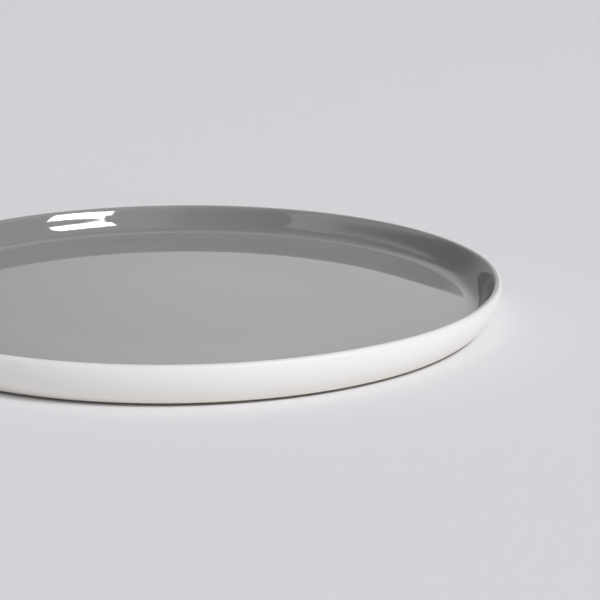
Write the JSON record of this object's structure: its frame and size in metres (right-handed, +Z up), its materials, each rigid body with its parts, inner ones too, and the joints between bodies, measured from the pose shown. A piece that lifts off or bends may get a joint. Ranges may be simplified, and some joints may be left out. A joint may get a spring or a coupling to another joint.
{
  "type": "dessert plate",
  "caption": "Round coupe dessert plate with a slightly dished floor, low S-curved wall, soft rim and foot ring; bare matt white porcelain outside, gloss grey glaze lining the well.",
  "frame": {"origin": "centre of the plate, on the plane that the foot ring stands on", "axes": "+Z up along the plate's turning axis; X and Y lie in the table plane and are interchangeable"},
  "size_m": [0.2, 0.2, 0.0131],
  "materials": {
    "bare_porcelain": "white porcelain, bare and polished matt",
    "grey_glaze": "smooth gloss grey glaze"
  },
  "bodies": {
    "root": {"porcelain_body": "bare_porcelain", "grey_glaze_lining": "grey_glaze"}
  },
  "joints": []
}
